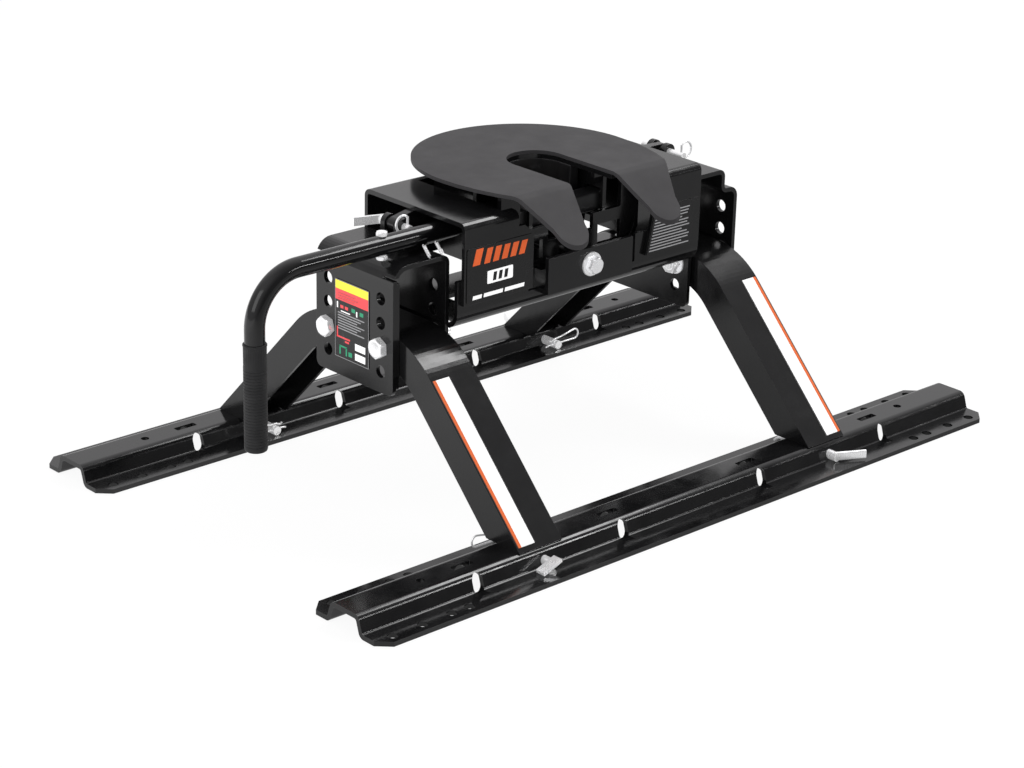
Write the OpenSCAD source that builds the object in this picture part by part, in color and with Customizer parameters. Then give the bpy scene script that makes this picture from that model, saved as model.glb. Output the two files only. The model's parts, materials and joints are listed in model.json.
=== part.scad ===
// Fifth wheel hitch: two bed rails, two arched legs, two bolt-on uprights, a
// crossmember with a sliding-bar coupler head that tilts fore-aft and sideways.
// Frame: origin on the floor at the centre of the hitch, +X along the rails to
// the passenger side, +Y towards the front of the truck, +Z up. Millimetres.

/* [Rails] */
// Length of a bed rail
rail_len = 1096; // [900:1:1300]
// Distance between the two rail centre lines
rail_spacing = 558.8; // [558.8:0.1:558.8]
// Height of a rail's hat section
rail_h = 28.5; // [27:0.1:31]
// Thickness of the rail plate
rail_t = 6.35; // [6:0.05:6.6]
// Half width over the rail flanges
rail_half_w = 69; // [66:1:75]

/* [Legs] */
// Inner face of a leg, from the centre plane
leg_x0 = 225; // [225:1:225]
// Outer face of a leg, from the centre plane
leg_x1 = 295; // [293:1:295]
// Plate thickness of the leg channel
leg_t = 5; // [4:0.5:6]
// Depth of the leg channel's side walls
leg_depth = 44; // [40:1:48]
// Height of the top of the leg arch
leg_top = 241; // [240:1:243]
// Outside radius of the knee bend
leg_knee_r = 120; // [90:5:125]

/* [Uprights] */
// Outer face of an upright, from the centre plane
upright_x = 306; // [306:1:306]
// Half width of an upright plate
upright_half_w = 75.3; // [70:0.1:78]
// Plate thickness
plate_t = 6; // [6:0.5:6]
// Height of the lower edge of an upright
upright_z0 = 164; // [158:1:170]
// Distance of a hole column from the centre
hole_col = 51.7; // [48:0.1:53]
// Lowest adjustment hole
hole_z0 = 192.3; // [190:0.1:194]
// Pitch of the height adjustment holes
hole_pitch = 31.9; // [31.9:0.1:31.9]

/* [Crossmember] */
// Half length of the crossmember
cross_x = 209.3; // [205:0.1:212]
// Half width of the crossmember
cross_y = 97.4; // [97.4:0.1:97.4]
// Top of the crossmember
cross_top = 375.7; // [374:0.1:376]
// Bottom of the crossmember's flanges
cross_z0 = 268; // [262:1:272]

/* [Coupler head] */
// Height of the top of the skid plate
skid_top = 398; // [398:0.5:400]
// Thickness of the skid plate
skid_t = 5; // [5:0.5:6]
// Radius of the skid plate's round front
skid_r = 156; // [150:1:160]
// Half width of the kingpin throat
throat_r = 40; // [39:0.5:41]
// Slope of the two entry ramps, degrees
ramp_angle = 40; // [34:1:44]
// Height of the tilt axes
pivot_z = 283; // [283:1:283]

/* [Handle] */
// Outside radius of the handle tube
tube_r = 12.7; // [12:0.1:13]
// Bend radius of the handle
tube_bend = 65; // [55:1:70]
// Height of the handle tube
tube_z = 352; // [352:0.5:352]
// Outside radius of the rubber grip
grip_r = 14.5; // [14.2:0.1:16]

/* [Hidden] */
$fn = 48;

rail_y = rail_spacing / 2;
leg_xc = (leg_x0 + leg_x1) / 2;
foot_pin_r = 6.35;
foot_pin_z = 13;
foot_hole_r = foot_pin_r + 0.1;
// Centre planes of an upright's outer and inner walls
outer_wall_x = upright_x - plate_t / 2;
inner_wall_x = 218;
bolt_r = 7.9;
bolt_hole_r = 8.3;
bolt_z = hole_z0 + hole_pitch;
// X, Y, Z of the retaining pins, at the middle of their ears
pin_driver = [-235, 5, 356];
pin_passenger = [250, 20, 361];
pin_hole_r = 5;
roll_bolt_r = 9.5;
roll_hole_r = 9.6;
roll_bracket_y = -107; // rear face of the bracket that carries the roll bolt
pitch_pin_r = 8;
skid_z0 = skid_top - skid_t;

black = [0.07, 0.07, 0.075];
satin = [0.33, 0.33, 0.34];
zinc = [0.85, 0.86, 0.88];
white = [0.95, 0.95, 0.95];
dark = [0.1, 0.1, 0.1];
label_grey = [0.12, 0.12, 0.12];
rubber = [0.13, 0.13, 0.13];

// In the modules below, side is -1 for driver and 1 for passenger,
// and end is -1 for rear and 1 for front.

// ---- plane geometry helpers -------------------------------------------------
function unit(v) = v / norm(v);
function left_of(v) = [-v[1], v[0]];
function rotated(v, a) = [v[0] * cos(a) - v[1] * sin(a), v[0] * sin(a) + v[1] * cos(a)];
function turn_angle(a, b) = atan2(a[0] * b[1] - a[1] * b[0], a[0] * b[0] + a[1] * b[1]);
function reversed(v) = [for (i = [len(v) - 1 : -1 : 0]) v[i]];
// Left half mirrored from the right half, then the right half in reverse.
function symmetric(half) = concat([for (p = half) [-p[0], p[1]]], reversed(half));

// Arc that replaces corner i of a path, at distance off to the path's left.
function corner_arc(path, i, radius, off, steps) =
  let (before = unit(path[i] - path[i - 1]),
       after = unit(path[i + 1] - path[i]),
       angle = turn_angle(before, after),
       bend = sign(angle),
       setback = radius * tan(abs(angle) / 2),
       centre = path[i] - before * setback + left_of(before) * radius * bend)
  [for (j = [0 : steps])
    centre - left_of(rotated(before, angle * j / steps)) * bend * (radius - bend * off)];

// The line at distance off to the left of a path, corner i rounded to radii[i - 1].
function offset_line(path, radii, off, steps) =
  let (last = len(path) - 1)
  concat(
    [path[0] + left_of(unit(path[1] - path[0])) * off],
    [for (i = [1 : last - 1]) each corner_arc(path, i, radii[i - 1], off, steps)],
    [path[last] + left_of(unit(path[last] - path[last - 1])) * off]);

// A bent sheet between two offsets of a path.
module band(path, radii, off1, off2, steps = 8) {
  polygon(concat(offset_line(path, radii, off1, steps),
                 reversed(offset_line(path, radii, off2, steps))));
}
// A bent sheet centred on a path.
module strip(path, radii, thick) { band(path, radii, thick / 2, -thick / 2); }

module rounded_rect(x0, y0, x1, y1, r) {
  translate([x0 + r, y0]) square([x1 - x0 - 2 * r, y1 - y0]);
  translate([x0, y0 + r]) square([x1 - x0, y1 - y0 - 2 * r]);
  for (x = [x0 + r, x1 - r], y = [y0 + r, y1 - r])
    translate([x, y]) circle(r);
}

// ---- solids between two stations, given in either order ----------------------
// Profile (Y, Z) drawn along X.
module along_x(x0, x1) {
  translate([min(x0, x1), 0, 0]) rotate([90, 0, 90]) linear_extrude(abs(x1 - x0)) children();
}
// Profile (X, Z) drawn along Y.
module along_y(y0, y1) {
  translate([0, max(y0, y1), 0]) rotate([90, 0, 0]) linear_extrude(abs(y1 - y0)) children();
}
module cyl_x(x0, x1, y, z, r) {
  translate([min(x0, x1), y, z]) rotate([0, 90, 0]) cylinder(h = abs(x1 - x0), r = r);
}
module cyl_y(y0, y1, x, z, r) {
  translate([x, min(y0, y1), z]) rotate([-90, 0, 0]) cylinder(h = abs(y1 - y0), r = r);
}
module box(x0, x1, y0, y1, z0, z1) {
  translate([min(x0, x1), min(y0, y1), z0]) cube([abs(x1 - x0), abs(y1 - y0), z1 - z0]);
}
module hex(across_flats, height) { cylinder(h = height, r = across_flats / sqrt(3), $fn = 6); }

// ---- bed rails --------------------------------------------------------------
// Right half of the hat section's centre line (Y, Z).
rail_half_path = [[rail_half_w, rail_t / 2], [29.8, rail_t / 2], [22.6, rail_h - rail_t / 2]];
rail_cut_z = rail_h - 10; // start of the cuts through the rail's top

module rail(y0) {
  end_x = rail_len / 2;
  color(black) difference() {
    translate([0, y0, 0]) along_x(-end_x, end_x)
      strip(symmetric(rail_half_path), [6, 7, 7, 6], rail_t);
    // slots through the side walls and the top
    for (side = [-1, 1], x = [126.5, 368]) {
      translate([side * x, 0, 0]) along_y(y0 - 45, y0 + 45) rounded_rect(-8, 3, 8, 27, 7.9);
      translate([side * x, y0, rail_cut_z]) linear_extrude(12) rounded_rect(-16, -5, 16, 5, 2);
    }
    for (side = [-1, 1]) {
      // slot for a leg's foot, hole near the rail's end, foot pin hole
      translate([side * leg_xc, y0, rail_cut_z]) linear_extrude(12)
        rounded_rect(-22, -7, 22, 7, 2);
      translate([side * 433, y0, rail_cut_z]) cylinder(h = 12, r = 5.5);
      cyl_y(y0 - 45, y0 + 45, side * leg_xc, foot_pin_z, foot_hole_r);
      // flange holes
      for (x = [404, 432, 477, 522], end = [-1, 1])
        translate([side * x, y0 + end * 55.5, -1]) cylinder(h = 10, r = 6.75);
      // chamfered flange corners
      for (end = [-1, 1])
        translate([0, y0, -1]) linear_extrude(12)
          polygon([[side * (end_x + 5), end * 48.5],
                   [side * (end_x + 5), end * (rail_half_w + 5)],
                   [side * (end_x - 21.5), end * (rail_half_w + 5)],
                   [side * (end_x - 17), end * rail_half_w],
                   [side * end_x, end * 53]]);
    }
  }
}
module rail_rear() { rail(-rail_y); }
module rail_front() { rail(rail_y); }

// ---- arched legs ------------------------------------------------------------
arch_slope = 1.03; // rise over run of the arch's sloping ends
// Distance of the sloping outer face from the centre at height z.
function arch_y(z) = 301 - (z - 30) / arch_slope;
leg_path = symmetric([[arch_y(20), 20], [arch_y(leg_top), leg_top]]);

// Layer of the arch between two offsets above its outer face.
module arch(x0, x1, off1, off2) {
  along_x(x0, x1) band(leg_path, [leg_knee_r, leg_knee_r], off1, off2, 16);
}
module leg(side) {
  foot_x = side * leg_xc;
  foot_half_t = 6;
  color(black) difference() {
    union() {
      // web and two side walls of the channel
      arch(side * leg_x0, side * leg_x1, 0, -leg_t);
      arch(side * leg_x0, side * (leg_x0 + leg_t), 0, -leg_depth);
      arch(side * leg_x1, side * (leg_x1 - leg_t), 0, -leg_depth);
      for (y = [-rail_y, rail_y])
        box(foot_x - 31, foot_x + 31, y - foot_half_t, y + foot_half_t, rail_h, 42);
    }
    box(-400, 400, -400, 400, -60, rail_h);
    for (y = [-hole_col, hole_col])
      cyl_x(side * (leg_x0 - 1), side * (leg_x1 + 1), y, bolt_z, bolt_hole_r);
  }
  // feet that reach through the rails
  color(black) difference() {
    for (y = [-rail_y, rail_y])
      box(foot_x - 20, foot_x + 20, y - foot_half_t, y + foot_half_t, 5, 36);
    for (y = [-rail_y, rail_y])
      cyl_y(y - 20, y + 20, foot_x, foot_pin_z, foot_hole_r);
  }
}
module leg_driver() { leg(-1); }
module leg_passenger() { leg(1); }

// ---- uprights: inverted channels that straddle the legs ---------------------
driver_top = 330;    // centre of the driver upright's top plate
passenger_top = 347; // centre of the passenger upright's top plate
passenger_step = 319; // centre of its lower, outer step

// Channel bent to a path (X, Z), its lower corners rounded.
module upright_blank(path, radii) {
  intersection() {
    along_y(-upright_half_w, upright_half_w) strip(path, radii, plate_t);
    along_x(-400, 400) {
      rounded_rect(-upright_half_w, upright_z0, upright_half_w, 400, 9);
      translate([-upright_half_w, 300]) square([2 * upright_half_w, 120]);
    }
  }
}
module upright_holes(side) {
  for (y = [-hole_col, hole_col], i = [0 : 3])
    cyl_x(side * 200, side * 320, y, hole_z0 + i * hole_pitch, bolt_hole_r);
}
// Pair of ears standing at z0 that holds the retaining pin.
module ears(pin, z0) {
  ear_r = 11;
  for (end = [-1, 1]) {
    y0 = pin.y + end * 13 - 4;
    y1 = pin.y + end * 13 + 4;
    difference() {
      union() {
        cyl_y(y0, y1, pin.x, pin.z, ear_r);
        box(pin.x - ear_r, pin.x + ear_r, y0, y1, z0, pin.z);
      }
      cyl_y(pin.y - 30, pin.y + 30, pin.x, pin.z, pin_hole_r);
    }
  }
}
module upright_driver() {
  color(black) union() {
    difference() {
      union() {
        upright_blank([[-outer_wall_x, upright_z0], [-outer_wall_x, driver_top],
                       [-inner_wall_x, driver_top], [-inner_wall_x, upright_z0]], [20, 8]);
        // ribs along the outer wall's edges
        for (end = [-1, 1])
          box(-304, -295.6, end * upright_half_w, end * (upright_half_w - 6), 174, 312);
      }
      upright_holes(-1);
      // narrow slots above the ribs
      for (y = [-66, 66])
        box(-310, -290, y - 13, y + 13, 315.5, 319);
    }
    ears(pin_driver, driver_top);
  }
}
module upright_passenger() {
  color(black) union() {
    difference() {
      upright_blank([[inner_wall_x, upright_z0], [inner_wall_x, passenger_top],
                     [277, passenger_top], [277, passenger_step],
                     [outer_wall_x, passenger_step], [outer_wall_x, upright_z0]],
                    [8, 8, 7, 12]);
      upright_holes(1);
    }
    ears(pin_passenger, passenger_top);
  }
}

// ---- crossmember and lower beam ---------------------------------------------
cross_wall_y = cross_y - plate_t / 2;
// Opening in the crossmember's rear wall (X, Z).
rear_opening = [[-93, 250], [109, 250], [109, 265], [122, 326],
                [122, 390], [-119, 390], [-119, 363], [-93, 343]];

// Tongue at a crossmember end that a retaining pin passes through.
module tongue(pin) {
  side = sign(pin.x);
  tip_r = 9;
  difference() {
    along_y(pin.y - 6, pin.y + 6) {
      polygon([[side * 150, cross_top - 5], [side * 150, 352],
               [side * 190, pin.z - tip_r], [pin.x, pin.z - tip_r],
               [pin.x, pin.z + tip_r], [side * (cross_x - 2), cross_top - 5]]);
      translate([pin.x, pin.z]) circle(tip_r);
    }
    cyl_y(-60, 60, pin.x, pin.z, pin_hole_r);
  }
}
module crossmember() {
  color(black) union() {
    difference() {
      along_x(-cross_x, cross_x)
        strip(symmetric([[cross_wall_y, cross_z0], [cross_wall_y, cross_top - plate_t / 2]]),
              [7, 7], plate_t);
      along_y(-cross_y - 10, -cross_y + 20) polygon(rear_opening);
      // opening in the top for the head
      box(-119, 122, -cross_y - 10, 75, cross_top - 20, cross_top + 10);
      box(-135, 135, -82, 79, cross_top - 20, cross_top + 10);
      cyl_y(cross_y - 20, cross_y + 10, 0, pivot_z, roll_hole_r);
    }
    tongue(pin_driver);
    tongue(pin_passenger);
  }
}
// Bent tray under the crossmember; it carries the rear end of the roll bolt.
module lower_beam() {
  color(black) union() {
    difference() {
      along_x(-215, 215)
        strip([[-88.4, 300], [-88.4, 238], [72, 238], [72, 222]], [19, 7], plate_t);
      box(-95, 95, -110, -80, 262, 310);
      // pockets for the upright nuts and their washers
      for (end = [-1, 1], side = [-1, 1])
        box(side * 196, side * 220, end * 34, end * 70, 215, 250);
      // lightening holes
      for (side = [-1, 1])
        translate([side * 120, -20, 230]) linear_extrude(15)
          rounded_rect(-32, -28, 32, 28, 10);
    }
    // angle bracket for the roll bolt
    difference() {
      union() {
        box(-75, 75, roll_bracket_y, roll_bracket_y + plate_t, 256, 305);
        box(-75, 75, roll_bracket_y, -86, 256, 262);
      }
      cyl_y(-120, -95, 0, pivot_z, roll_hole_r);
    }
  }
}

// ---- upright fasteners ------------------------------------------------------
upright_af = 24; // across flats of the upright bolts and nuts
// Spacers either side of each leg: X from and to, then the bore's X from and to.
spacer_spans = [[leg_x1, upright_x - plate_t, 290, 310],
                [inner_wall_x + plate_t / 2, leg_x0, 215, 230]];

module leg_spacers() {
  color(zinc)
    for (side = [-1, 1], y = [-hole_col, hole_col], span = spacer_spans)
      difference() {
        cyl_x(side * span[0], side * span[1], y, bolt_z, 12.5);
        cyl_x(side * span[2], side * span[3], y, bolt_z, bolt_hole_r);
      }
}
module upright_bolts(side) {
  color(zinc) for (y = [-hole_col, hole_col]) {
    cyl_x(side * 199, side * upright_x, y, bolt_z, bolt_r);
    translate([side * upright_x, y, bolt_z]) rotate([0, side * 90, 0]) rotate([0, 0, 12])
      hex(upright_af, 10);
  }
}
module upright_bolts_driver() { upright_bolts(-1); }
module upright_bolts_passenger() { upright_bolts(1); }
// Nuts with their washers, on the inner walls.
module upright_nuts(side) {
  seat_x = inner_wall_x - plate_t / 2;
  color(zinc) for (y = [-hole_col, hole_col]) difference() {
    translate([side * seat_x, y, bolt_z]) rotate([0, -side * 90, 0]) union() {
      cylinder(h = 3, r = 15.5);
      rotate([0, 0, 20]) hex(upright_af, 14);
    }
    cyl_x(side * 190, side * 230, y, bolt_z, bolt_r);
  }
}
module upright_nuts_driver() { upright_nuts(-1); }
module upright_nuts_passenger() { upright_nuts(1); }

// ---- strips and plates ------------------------------------------------------
label_t = 0.8;

// Reflective strip on the outer web of the rear half of a leg, up to y1.
module reflector(x0, x1, y1) {
  color(white) intersection() {
    arch(x0, x1, 0.5, 0);
    box(-400, 400, -297, y1, 34, 260);
  }
}
module reflector_driver() { reflector(-294, -265, -135.5); }
module reflector_passenger() { reflector(264, 294, -129); }
module name_plate() {
  color(dark) along_y(-cross_y - 1, -cross_y) rounded_rect(-206, 271, -95, 342, 3);
}
module info_plate() {
  color(label_grey) along_y(-cross_y - label_t, -cross_y)
    polygon([[111, 268.5], [206, 268.5], [206, 331], [124.5, 331]]);
}
module setup_plate() {
  color(label_grey) along_x(-upright_x - label_t, -upright_x)
    rounded_rect(-30, 188, 37, 292, 4);
}

// ---- retaining pins ---------------------------------------------------------
// Distance of a ring's cross hole behind the middle of the ears
ring_back_driver = 23;
ring_back_passenger = 40;

// Pin with a collar; its head is a flat tab turned by tab_turn, or a round knob at 0.
module retaining_pin(pin, ring_back, tab_turn) {
  color(zinc) union() {
    difference() {
      cyl_y(pin.y - ring_back - 5, pin.y + 24, pin.x, pin.z, 4.9);
      translate([pin.x, pin.y - ring_back, pin.z - 10]) cylinder(h = 20, r = 1.58);
    }
    cyl_y(pin.y + 17.2, pin.y + 20, pin.x, pin.z, 8);
    if (tab_turn > 0)
      translate([pin.x, pin.y + 24, pin.z]) rotate([0, 0, tab_turn])
        translate([-4, -2, -4.5]) cube([44, 4.5, 11]);
    else
      cyl_y(pin.y + 20, pin.y + 30, pin.x, pin.z, 7);
  }
}
module retaining_pin_driver() { retaining_pin(pin_driver, ring_back_driver, 160); }
module retaining_pin_passenger() { retaining_pin(pin_passenger, ring_back_passenger, 0); }
// Wire ring, open at the bottom, whose straight side passes through the pin.
module retaining_ring(pin, ring_back) {
  wire_r = 1.5;
  color(zinc) translate([pin.x, pin.y - ring_back, pin.z]) mirror([pin.x > 0 ? 0 : 1, 0, 0]) {
    translate([0, 0, -7]) cylinder(h = 22, r = wire_r);
    translate([8, 0, 7.5]) rotate([90, 0, 0]) rotate([0, 0, -88])
      rotate_extrude(angle = 223) translate([10.6, 0]) circle(wire_r);
  }
}
module retaining_ring_driver() { retaining_ring(pin_driver, ring_back_driver); }
module retaining_ring_passenger() { retaining_ring(pin_passenger, ring_back_passenger); }

// Straight envelopes of the two return springs behind the handle tube.
module return_springs() {
  color(zinc) for (x = [-246, -226])
    translate([x, -74.4, 334.8]) rotate([-44, 0, 0]) cylinder(h = 19, r = 2);
}

// ---- tilt axes: roll about Y, pitch about X ---------------------------------
module roll_bolt() {
  washer_y = roll_bracket_y - 3.5;
  color(zinc) union() {
    cyl_y(-110, 112, 0, pivot_z, roll_bolt_r);
    cyl_y(washer_y, roll_bracket_y, 0, pivot_z, 16);
    translate([0, washer_y, pivot_z]) rotate([90, 0, 0]) rotate([0, 0, 10]) hex(20, 9);
  }
}
module roll_nut() {
  washer_t = 3;
  color(zinc) difference() {
    union() {
      cyl_y(cross_y, cross_y + washer_t, 0, pivot_z, 18);
      translate([0, cross_y + washer_t, pivot_z]) rotate([-90, 0, 0]) hex(28, 11);
    }
    cyl_y(cross_y - 5, cross_y + 30, 0, pivot_z, roll_bolt_r);
  }
}
// Block on the roll bolt, with a blind hole in each side for a pitch pin.
module rocker() {
  color(black) difference() {
    union() {
      along_y(-50, 50) rounded_rect(-38, 266, 38, 300, 5);
      cyl_y(-88, 88, 0, pivot_z, 14);
    }
    cyl_y(-100, 100, 0, pivot_z, 9.57);
    for (side = [-1, 1])
      cyl_x(side * 40, side * 14, 0, pivot_z, pitch_pin_r);
  }
}
module pitch_pins() {
  color(zinc) for (side = [-1, 1]) {
    cyl_x(side * 14.5, side * 70, 0, pivot_z, pitch_pin_r);
    cyl_x(side * 68.5, side * 72.5, 0, pivot_z, 12);
  }
}
module pitch_bushings() {
  color(dark) for (side = [-1, 1]) difference() {
    cyl_x(side * 38, side * 61.5, 0, pivot_z, 15);
    cyl_x(side * 30, side * 70, 0, pivot_z, pitch_pin_r);
  }
}

// ---- skid plate -------------------------------------------------------------
skid_round_y = 12.5; // centre of the round front
ramp_y = -105;       // where the ramps bend down
ramp_len = 90;
// Right flank of the plan (X, Y), from the round front back to the ramps.
skid_flank = [[skid_r, skid_round_y], [154.6, -18], [149.5, -50], [141.5, -78], [131, ramp_y]];

// Outline (X, Y) of a ramp lobe, with an elliptical rear end.
function lobe(side) = concat(
  [[side * 38, -95], [side * 40, -105], [side * 47, -125], [side * 57, -152]],
  [for (i = [0 : 16])
    let (a = 190 + i * 10.5)
    [side * (82 + 25 * cos(a)), -153 + 19 * sin(a)]],
  [[side * 108, -148], [side * 119, -127], [side * 131, -105], [side * 133, -95]]);

// Plan view: round front, tapering flanks, two ramp lobes, throat open to the rear.
module skid_plan() {
  difference() {
    union() {
      difference() {
        translate([0, skid_round_y]) circle(skid_r, $fn = 96);
        translate([-200, -400]) square([400, 400 + skid_round_y]);
      }
      polygon(symmetric(skid_flank));
      for (side = [-1, 1])
        polygon(lobe(side));
    }
    circle(throat_r);
    translate([-throat_r, -115]) square([2 * throat_r, 115]);
  }
}
module skid_plate() {
  mid_z = skid_top - skid_t / 2;
  ramp_end = [ramp_y - ramp_len * cos(ramp_angle), mid_z - ramp_len * sin(ramp_angle)];
  color(satin) intersection() {
    along_x(-160, 160) strip([[175, mid_z], [ramp_y, mid_z], ramp_end], [16], skid_t);
    translate([0, 0, 300]) linear_extrude(120) skid_plan();
  }
}

// ---- head frame, collar and sliding bar -------------------------------------
frame_x = 123;      // outer face of the outer cheeks
frame_rear = -67;   // rear face of the rear plate
frame_front = 62;   // front face of the front plate
inner_cheek_x = 62; // inner face of the inner cheeks
flange_z = skid_z0 - plate_t; // underside of the top flange
// Right halves of the rear and front plates (X, Z).
rear_plate_half = [[frame_x, skid_z0], [frame_x, 340], [114, 302], [104, 284],
                   [20, 284], [20, 304]];
front_plate_half = [[frame_x, skid_z0], [frame_x, 330], [105, 312]];
// Outlines of the cheeks (Y, Z).
outer_cheek = [[-68, skid_z0], [-67, 345], [-67, 300], [-60, 284],
               [40, 284], [62, 312], [62, skid_z0]];
inner_cheek = [[-61, skid_z0], [-61, 319], [-24, 319], [-20, 290], [-18, 266],
               [18, 266], [40, 300], [56, 312], [56, skid_z0]];

module head_frame() {
  color(black) difference() {
    union() {
      // rear plate, stepped round the throat and the sliding bar
      along_y(frame_rear, frame_rear + plate_t) difference() {
        polygon(symmetric(rear_plate_half));
        translate([-throat_r, 312]) square([2 * throat_r, 120]);
        translate([-90, 333]) square([180, 48]);
        for (side = [-1, 1])
          translate([side * 69.5 - 20.5, 289]) square([41, 27]);
      }
      along_y(frame_front - plate_t, frame_front) polygon(symmetric(front_plate_half));
      for (side = [-1, 1])
        along_x(side * (frame_x - plate_t), side * frame_x) polygon(outer_cheek);
      // inner cheeks with the tilt pin bosses, which also guide the sliding bar
      for (side = [-1, 1])
        along_x(side * inner_cheek_x, side * (inner_cheek_x + plate_t)) {
          polygon(inner_cheek);
          translate([0, pivot_z]) circle(19);
        }
      // top flange under the skid plate
      box(-92, 92, -98, -60, flange_z, skid_z0);
      box(-frame_x, frame_x, frame_rear, frame_front, flange_z, skid_z0);
    }
    cyl_x(-75, 75, 0, pivot_z, 8.06);
    // kingpin throat
    translate([0, 0, 330]) cylinder(h = 100, r = throat_r);
    box(-throat_r, throat_r, -120, 0, 312, 410);
    // windows for the sliding bar, and room round the handle's fork
    box(-70, 70, -56.5, -25.5, 327.5, 360.5);
    box(-126, -114, -60.9, -14, 321, 384);
  }
}
// U-shaped collar round the throat, open to the rear.
module throat_collar() {
  outer_r = 54;
  inner_r = 39;
  rear_y = -22;
  bottom_z = 345;
  color(black) difference() {
    union() {
      translate([0, 0, bottom_z]) cylinder(h = flange_z - bottom_z, r = outer_r);
      box(-outer_r, outer_r, rear_y, 0, bottom_z, flange_z);
    }
    translate([0, 0, 340]) cylinder(h = 60, r = inner_r);
    box(-inner_r, inner_r, -30, 0, 340, 400);
    box(-60, 60, -70, rear_y, 340, 400);
  }
}
fork_pin = [-118, -41]; // X, Y of the pin joining the handle to the bar

module jaw_bar() {
  color(black) difference() {
    union() {
      along_x(-96, 70) rounded_rect(-54, 330, -28, 356, 3);
      box(-130.5, -94, -55.5, -26.5, tube_z - 2, tube_z + 2);
    }
    // wide slot, so the head can tilt while the handle stays level
    translate([fork_pin.x, fork_pin.y, 340]) linear_extrude(30)
      rounded_rect(-8.5, -11, 8.5, 11, 4);
  }
}

// ---- pull handle ------------------------------------------------------------
tube_y = -40;
bend_x = -426;              // where the level tube meets the bend
grip_x = bend_x - tube_bend;
tube_bottom = 137;
handle_bolt_x = -295;

module handle_tube() {
  color(black) union() {
    difference() {
      union() {
        cyl_x(bend_x, -140, tube_y, tube_z, tube_r);
        translate([bend_x, tube_y, tube_z - tube_bend]) rotate([90, 0, 0]) rotate([0, 0, 90])
          rotate_extrude(angle = 90) translate([tube_bend, 0]) circle(tube_r);
        translate([grip_x, tube_y, tube_bottom])
          cylinder(h = tube_z - tube_bend - tube_bottom, r = tube_r);
      }
      translate([handle_bolt_x, tube_y, tube_z - 20]) cylinder(h = 40, r = 4.05);
    }
    // fork: end plate, two arms and the pin between them
    box(-142, -136, -52, -28, tube_z - 17.8, tube_z + 17);
    for (z = [-17.8, 14.5])
      box(-138, -110, -52, -28, tube_z + z, tube_z + z + 2.5);
    translate([fork_pin.x, fork_pin.y, tube_z - 16.5]) cylinder(h = 32, r = 4);
  }
}
module handle_grip() {
  color(rubber) translate([grip_x, tube_y, 0]) difference() {
    union() {
      translate([0, 0, 136]) cylinder(h = 134, r = grip_r);
      // tapered bottom, top collar and ribs
      translate([0, 0, 132]) cylinder(h = 4, r1 = grip_r - 4, r2 = grip_r);
      translate([0, 0, 262]) cylinder(h = 8, r = grip_r + 1);
      for (i = [0 : 15])
        translate([0, 0, 144 + i * 7]) cylinder(h = 2.4, r = grip_r + 0.4);
    }
    translate([0, 0, tube_bottom]) cylinder(h = 160, r = tube_r);
  }
}
// Vertical bolt through the tube, head on top and nut below.
module handle_bolt() {
  across_flats = 13;
  color(zinc) translate([handle_bolt_x, tube_y, 0]) {
    translate([0, 0, 334]) cylinder(h = 33, r = 4);
    translate([0, 0, tube_z + tube_r]) hex(across_flats, 5.3);
    translate([0, 0, 333.8]) difference() {
      hex(across_flats, 5.5);
      translate([0, 0, -1]) cylinder(h = 1.2, r = 3);
    }
  }
}

// ---- foot pins and hairpin clips --------------------------------------------
clip_inset = 53; // from the rail's centre line inwards to the clip

// Pin with a flat head at its outer end: turned by head_turn, or tilted at 0.
module foot_pin(side, end, head_turn) {
  x = side * leg_xc;
  outer_y = end * (rail_y + 44);
  color(zinc) union() {
    difference() {
      cyl_y(outer_y, end * (rail_y - 60), x, foot_pin_z, foot_pin_r);
      translate([x, end * (rail_y - clip_inset), foot_pin_z]) cyl_x(-12, 12, 0, 0, 1.46);
    }
    if (head_turn > 0)
      translate([x, outer_y, foot_pin_z]) rotate([0, 0, end * head_turn])
        along_x(-4, 40) rounded_rect(-2.5, -4.2, 2.5, 7.6, 2);
    else
      translate([x, outer_y, foot_pin_z + 5]) rotate([0, -20, 0])
        along_y(-10, 4) translate([-25, -2.3]) square([31, 4.6]);
  }
}
module foot_pin_driver_rear() { foot_pin(-1, -1, 0); }
module foot_pin_driver_front() { foot_pin(-1, 1, 28); }
module foot_pin_passenger_rear() { foot_pin(1, -1, 28); }
module foot_pin_passenger_front() { foot_pin(1, 1, 60); }
// Hairpin clip: one straight leg through the pin, one over it, round outboard end.
module foot_clip(side, end) {
  wire_r = 1.4;
  bend_r = 7.3;
  color(zinc) translate([side * leg_xc, end * (rail_y - clip_inset), foot_pin_z])
    mirror([side > 0 ? 0 : 1, 0, 0]) {
      cyl_x(-18, 38, 0, 0, wire_r);
      cyl_x(-12, 38, 0, 2 * bend_r, wire_r);
      translate([38, 0, bend_r]) rotate([90, 0, 0]) rotate([0, 0, -90])
        rotate_extrude(angle = 180) translate([bend_r, 0]) circle(wire_r);
    }
}
module foot_clip_driver_rear() { foot_clip(-1, -1); }
module foot_clip_driver_front() { foot_clip(-1, 1); }
module foot_clip_passenger_rear() { foot_clip(1, -1); }
module foot_clip_passenger_front() { foot_clip(1, 1); }

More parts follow.
